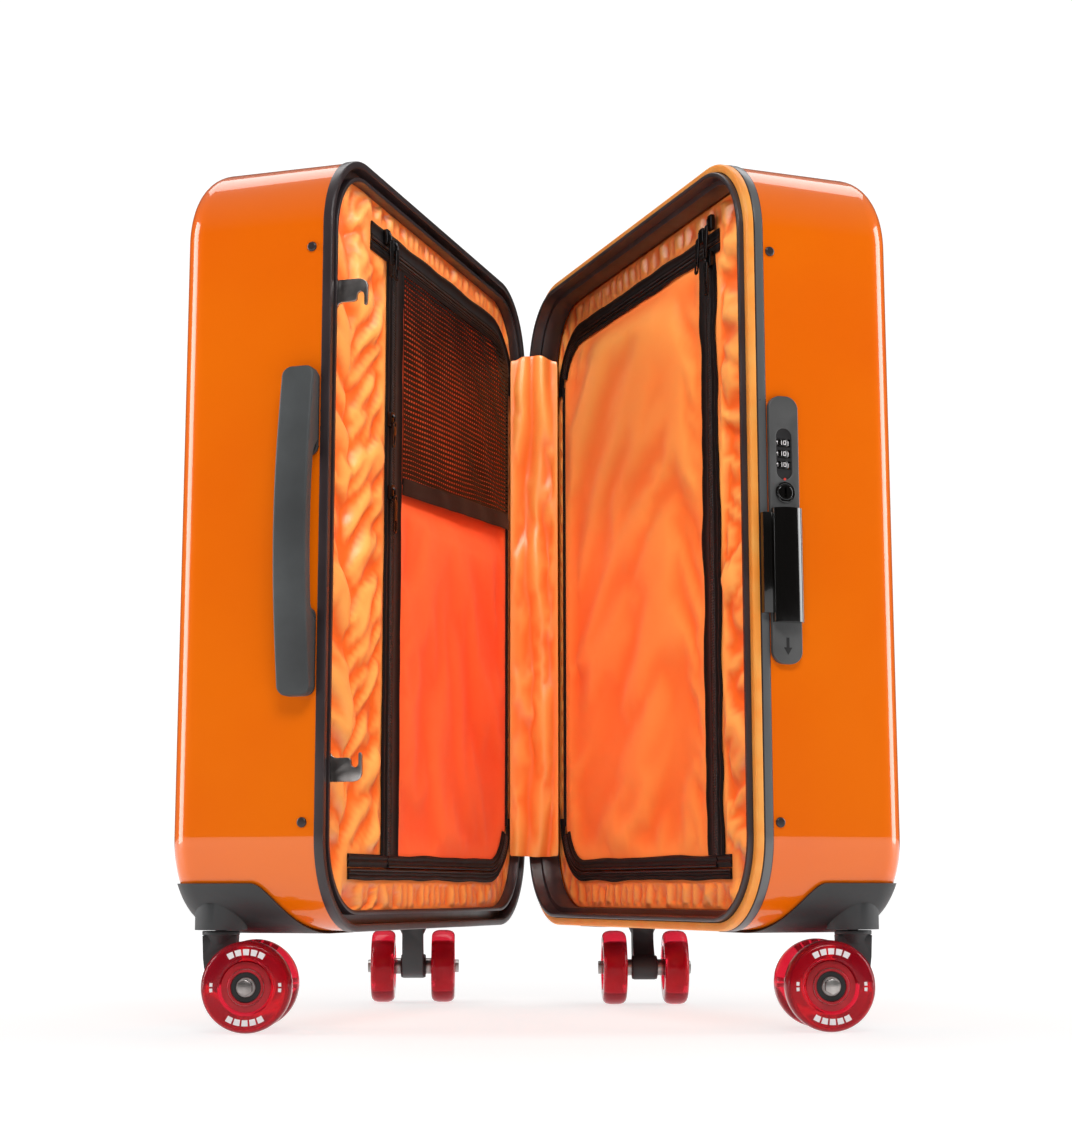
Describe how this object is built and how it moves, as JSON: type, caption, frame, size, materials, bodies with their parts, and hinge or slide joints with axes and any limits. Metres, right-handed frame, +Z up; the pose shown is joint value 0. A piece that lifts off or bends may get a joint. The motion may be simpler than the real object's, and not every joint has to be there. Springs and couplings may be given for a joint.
{
  "type": "hard-shell cabin suitcase",
  "caption": "Hard-shell cabin suitcase open like a book, with a rim lock, fabric flaps, a side handle, a telescopic handle and swivel casters.",
  "frame": {"origin": "centre of the overall box at floor level, with the case standing on its casters and open as at rest", "axes": "+Z up; the mouth of the open case faces -Y and the spine hinge is vertical at +Y; the left half is the fixed one, on the -X side"},
  "size_m": [0.4458, 0.4277, 0.55],
  "materials": {
    "orange_shell": "glossy orange polycarbonate",
    "orange_strip": "satin orange rubberised strip",
    "black_rim": "satin dark extruded rim",
    "black_plastic": "fine-grained dark grey plastic",
    "black_gloss": "polished black",
    "lock_grey": "satin dark grey",
    "red_wheel": "translucent red urethane with steel bearings",
    "steel": "bright plated steel",
    "aluminium": "satin anodised",
    "orange_satin": "satin lining cloth",
    "red_orange_cloth": "plain woven cloth",
    "dark_mesh": "open mesh with a sewn hem",
    "black_zip": "black coated zip pull"
  },
  "bodies": {
    "left_half": {"left_shell": "orange_shell", "left_rim_frame": "black_rim", "left_lining": "orange_satin", "left_fabric_cover": "orange_satin", "spine_gusset_left": "orange_satin", "hinge_leaf_left_upper": "steel", "hinge_leaf_left_lower": "steel", "hinge_pin_upper": "steel", "hinge_pin_lower": "steel", "bumper_left_front": "black_plastic", "bumper_left_rear": "black_plastic", "latch_hook_upper": "steel", "latch_hook_lower": "steel", "side_handle": "black_plastic", "side_handle_pad_upper": "black_plastic", "side_handle_pad_lower": "black_plastic", "trolley_cup": "black_plastic", "trolley_outer_tube_rear": "aluminium", "trolley_outer_tube_front": "aluminium"},
    "right_half": {"right_shell": "orange_shell", "right_rim_frame": "black_rim", "right_rim_strip": "orange_strip", "right_lining": "orange_satin", "right_fabric_cover": "orange_satin", "spine_gusset_right": "orange_satin", "hinge_leaf_right_upper": "steel", "hinge_leaf_right_lower": "steel", "bumper_right_front": "black_plastic", "bumper_right_rear": "black_plastic", "lock_plate": "lock_grey"},
    "left_flap": {"left_flap": "red_orange_cloth", "mesh_pocket": "dark_mesh"},
    "right_flap": {"right_flap": "orange_satin"},
    "zip_left_high": {"zip_slider_left_high": "black_zip"},
    "zip_left_low": {"zip_slider_left_low": "black_zip"},
    "zip_right": {"zip_slider_right": "black_zip"},
    "trolley": {"trolley_inner_tube_rear": "aluminium", "trolley_inner_tube_front": "aluminium", "trolley_grip": "black_plastic"},
    "trolley_button": {"trolley_button": "black_gloss"},
    "lock_slider": {"lock_slider": "black_gloss"},
    "key_cylinder": {"lock_key_cylinder": "black_gloss"},
    "latch_bar_upper": {"latch_bar_upper": "steel"},
    "latch_bar_lower": {"latch_bar_lower": "steel"},
    "dial_upper": {"lock_dial_upper": "black_gloss"},
    "dial_middle": {"lock_dial_middle": "black_gloss"},
    "dial_lower": {"lock_dial_lower": "black_gloss"},
    "caster_left_front": {"caster_left_front_fork": "black_plastic"},
    "caster_left_front_wheel_near": {"caster_left_front_wheel_near": "red_wheel"},
    "caster_left_front_wheel_far": {"caster_left_front_wheel_far": "red_wheel"},
    "caster_left_rear": {"caster_left_rear_fork": "black_plastic"},
    "caster_left_rear_wheel_near": {"caster_left_rear_wheel_near": "red_wheel"},
    "caster_left_rear_wheel_far": {"caster_left_rear_wheel_far": "red_wheel"},
    "caster_right_front": {"caster_right_front_fork": "black_plastic"},
    "caster_right_front_wheel_near": {"caster_right_front_wheel_near": "red_wheel"},
    "caster_right_front_wheel_far": {"caster_right_front_wheel_far": "red_wheel"},
    "caster_right_rear": {"caster_right_rear_fork": "black_plastic"},
    "caster_right_rear_wheel_near": {"caster_right_rear_wheel_near": "red_wheel"},
    "caster_right_rear_wheel_far": {"caster_right_rear_wheel_far": "red_wheel"}
  },
  "joints": [
    {"name": "spine_hinge", "type": "hinge", "parent": "left_half", "child": "right_half", "pos_m": [0, 0.1755, 0.3046], "axis": [0, 0, 1], "range_deg": [-38.2, 141.8]},
    {"name": "left_flap_hinge", "type": "hinge", "parent": "left_half", "child": "left_flap", "pos_m": [-0.01703, 0.1523, 0.30375], "axis": [0, 0, 1], "range_deg": [0, 34]},
    {"name": "right_flap_hinge", "type": "hinge", "parent": "right_half", "child": "right_flap", "pos_m": [0.02855, 0.15417, 0.30375], "axis": [0, 0, -1], "range_deg": [0, 34]},
    {"name": "zip_left_high_slide", "type": "slide", "parent": "left_half", "child": "zip_left_high", "axis": [0, 0, 1], "range_m": [-0.09, 0]},
    {"name": "zip_left_low_slide", "type": "slide", "parent": "left_half", "child": "zip_left_low", "axis": [0, 0, 1], "range_m": [-0.2, 0.03]},
    {"name": "zip_right_slide", "type": "slide", "parent": "right_half", "child": "zip_right", "axis": [0, 0, 1], "range_m": [-0.35, 0]},
    {"name": "trolley_slide", "type": "slide", "parent": "left_half", "child": "trolley", "axis": [0, 0, 1], "range_m": [0, 0.38]},
    {"name": "trolley_button_press", "type": "slide", "parent": "trolley", "child": "trolley_button", "axis": [0, 0, -1], "range_m": [0, 0.0025], "stiffness_N_per_m": 300},
    {"name": "lock_slider_slide", "type": "slide", "parent": "right_half", "child": "lock_slider", "axis": [0, 0, -1], "range_m": [0, 0.01], "stiffness_N_per_m": 300},
    {"name": "latch_bar_upper_slide", "type": "slide", "parent": "right_half", "child": "latch_bar_upper", "axis": [0, 0, -1], "range_m": [0, 0.01]},
    {"name": "latch_bar_lower_slide", "type": "slide", "parent": "right_half", "child": "latch_bar_lower", "axis": [0, 0, -1], "range_m": [-0.01, 0]},
    {"name": "key_turn", "type": "hinge", "parent": "right_half", "child": "key_cylinder", "pos_m": [0.14891, -0.18883, 0.325], "axis": [0.3272, -0.9449, 0], "range_deg": [0, 90]},
    {"name": "dial_upper_turn", "type": "hinge", "parent": "right_half", "child": "dial_upper", "pos_m": [0.14898, -0.18902, 0.3561], "axis": [0, 0, 1], "continuous": true},
    {"name": "dial_middle_turn", "type": "hinge", "parent": "right_half", "child": "dial_middle", "pos_m": [0.14898, -0.18902, 0.3492], "axis": [0, 0, 1], "continuous": true},
    {"name": "dial_lower_turn", "type": "hinge", "parent": "right_half", "child": "dial_lower", "pos_m": [0.14898, -0.18902, 0.3423], "axis": [0, 0, 1], "continuous": true},
    {"name": "caster_left_front_swivel", "type": "hinge", "parent": "left_half", "child": "caster_left_front", "pos_m": [-0.19438, -0.14134, 0.0587], "axis": [0, 0, 1], "continuous": true},
    {"name": "caster_left_front_wheel_near_spin", "type": "hinge", "parent": "caster_left_front", "child": "caster_left_front_wheel_near", "pos_m": [-0.17538, -0.16419, 0.02727], "axis": [0, 1, 0], "continuous": true},
    {"name": "caster_left_front_wheel_far_spin", "type": "hinge", "parent": "caster_left_front", "child": "caster_left_front_wheel_far", "pos_m": [-0.17538, -0.11849, 0.02727], "axis": [0, 1, 0], "continuous": true},
    {"name": "caster_left_rear_swivel", "type": "hinge", "parent": "left_half", "child": "caster_left_rear", "pos_m": [-0.08738, 0.16766, 0.0587], "axis": [0, 0, 1], "continuous": true},
    {"name": "caster_left_rear_wheel_near_spin", "type": "hinge", "parent": "caster_left_rear", "child": "caster_left_rear_wheel_near", "pos_m": [-0.06453, 0.18666, 0.02727], "axis": [-1, 0, 0], "continuous": true},
    {"name": "caster_left_rear_wheel_far_spin", "type": "hinge", "parent": "caster_left_rear", "child": "caster_left_rear_wheel_far", "pos_m": [-0.11023, 0.18666, 0.02727], "axis": [-1, 0, 0], "continuous": true},
    {"name": "caster_right_front_swivel", "type": "hinge", "parent": "right_half", "child": "caster_right_front", "pos_m": [0.19438, -0.14134, 0.0587], "axis": [0, 0, 1], "continuous": true},
    {"name": "caster_right_front_wheel_near_spin", "type": "hinge", "parent": "caster_right_front", "child": "caster_right_front_wheel_near", "pos_m": [0.17538, -0.11849, 0.02727], "axis": [0, -1, 0], "continuous": true},
    {"name": "caster_right_front_wheel_far_spin", "type": "hinge", "parent": "caster_right_front", "child": "caster_right_front_wheel_far", "pos_m": [0.17538, -0.16419, 0.02727], "axis": [0, -1, 0], "continuous": true},
    {"name": "caster_right_rear_swivel", "type": "hinge", "parent": "right_half", "child": "caster_right_rear", "pos_m": [0.08738, 0.16766, 0.0587], "axis": [0, 0, 1], "continuous": true},
    {"name": "caster_right_rear_wheel_near_spin", "type": "hinge", "parent": "caster_right_rear", "child": "caster_right_rear_wheel_near", "pos_m": [0.06453, 0.14866, 0.02727], "axis": [1, 0, 0], "continuous": true},
    {"name": "caster_right_rear_wheel_far_spin", "type": "hinge", "parent": "caster_right_rear", "child": "caster_right_rear_wheel_far", "pos_m": [0.11023, 0.14866, 0.02727], "axis": [1, 0, 0], "continuous": true}
  ],
  "couplings": [
    {"joint": "latch_bar_upper_slide", "follows": "lock_slider_slide", "ratio": 1},
    {"joint": "latch_bar_lower_slide", "follows": "lock_slider_slide", "ratio": -1}
  ]
}
